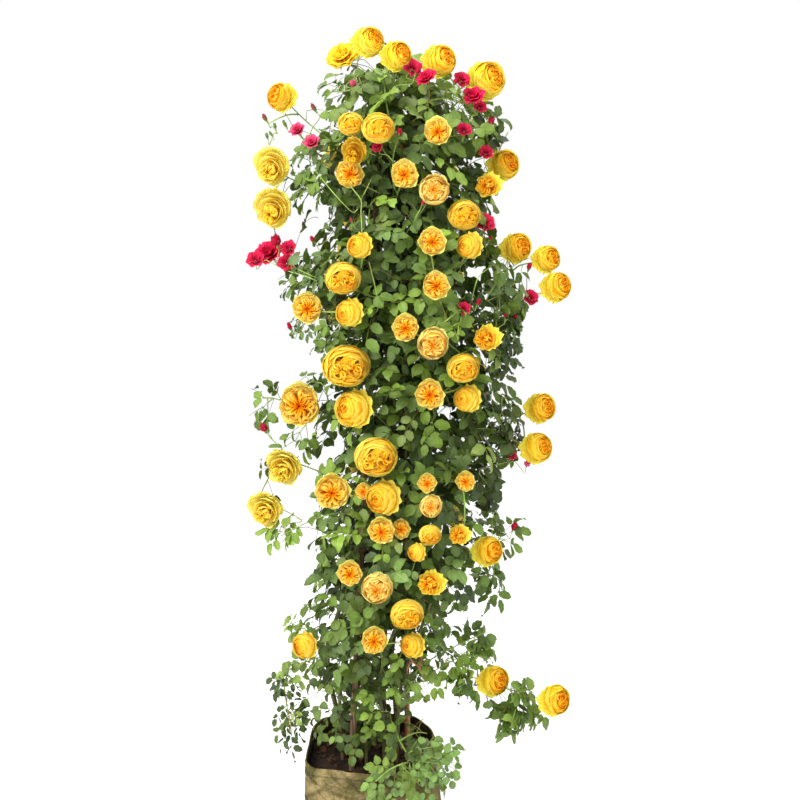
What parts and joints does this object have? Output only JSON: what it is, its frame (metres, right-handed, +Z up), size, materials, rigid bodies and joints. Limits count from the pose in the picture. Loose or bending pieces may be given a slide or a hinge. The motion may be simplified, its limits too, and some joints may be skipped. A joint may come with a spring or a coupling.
{
  "type": "potted climbing rose",
  "caption": "Tall climbing rose trained up stakes in a soft fabric grow bag, with leafy canes, yellow-orange double blooms and a few crimson ones, standing on its own.",
  "frame": {"origin": "middle of the bag's flat underside, on the ground", "axes": "+Z up along the canes, -Y towards the side that carries the blooms seen in the picture, +X to the right seen from there"},
  "size_m": [0.9424, 0.6174, 2.3245],
  "materials": {
    "bag_fabric": "matte",
    "potting_mix": "matte",
    "stake_wood": "matte",
    "bamboo": "satin",
    "twine": "matte",
    "cane_bark": "satin",
    "green_shoot": "satin",
    "crimson_shoot": "satin",
    "leaf": "satin",
    "petal_yellow": "matte",
    "petal_crimson": "matte"
  },
  "bodies": {
    "root": {"grow_bag": "bag_fabric", "potting_soil": "potting_mix", "stake_front_left": "stake_wood", "stake_back": "stake_wood", "stake_right": "bamboo", "twine_tie_low": "twine", "twine_tie_middle": "twine", "twine_tie_back": "twine", "twine_tie_high": "twine", "cane_left": "cane_bark", "cane_front_left": "cane_bark", "cane_front": "cane_bark", "cane_front_right": "cane_bark", "cane_right": "cane_bark", "cane_back_right": "cane_bark", "cane_back": "cane_bark", "crimson_cane": "cane_bark", "flowering_shoot_01": "green_shoot", "flowering_shoot_02": "green_shoot", "flowering_shoot_03": "green_shoot", "flowering_shoot_04": "green_shoot", "flowering_shoot_05": "green_shoot", "flowering_shoot_06": "green_shoot", "flowering_shoot_07": "green_shoot", "flowering_shoot_08": "green_shoot", "flowering_shoot_09": "green_shoot", "flowering_shoot_10": "green_shoot", "flowering_shoot_11": "green_shoot", "flowering_shoot_12": "green_shoot", "flowering_shoot_13": "green_shoot", "flowering_shoot_14": "green_shoot", "flowering_shoot_15": "green_shoot", "flowering_shoot_16": "green_shoot", "flowering_shoot_17": "green_shoot", "flowering_shoot_18": "green_shoot", "flowering_shoot_19": "green_shoot", "flowering_shoot_20": "green_shoot", "flowering_shoot_21": "green_shoot", "flowering_shoot_22": "green_shoot", "flowering_shoot_23": "green_shoot", "flowering_shoot_24": "green_shoot", "flowering_shoot_25": "green_shoot", "flowering_shoot_26": "green_shoot", "flowering_shoot_27": "green_shoot", "flowering_shoot_28": "green_shoot", "flowering_shoot_29": "green_shoot", "flowering_shoot_30": "green_shoot", "flowering_shoot_31": "green_shoot", "flowering_shoot_32": "green_shoot", "flowering_shoot_33": "green_shoot", "crimson_shoot_1": "crimson_shoot", "crimson_shoot_2": "crimson_shoot", "crimson_shoot_3": "crimson_shoot", "rear_shoot_1": "green_shoot", "rear_shoot_2": "green_shoot", "rear_shoot_3": "green_shoot", "rear_shoot_4": "green_shoot", "rear_shoot_5": "green_shoot", "rear_shoot_6": "green_shoot", "trailing_shoot": "green_shoot"}
  },
  "joints": []
}
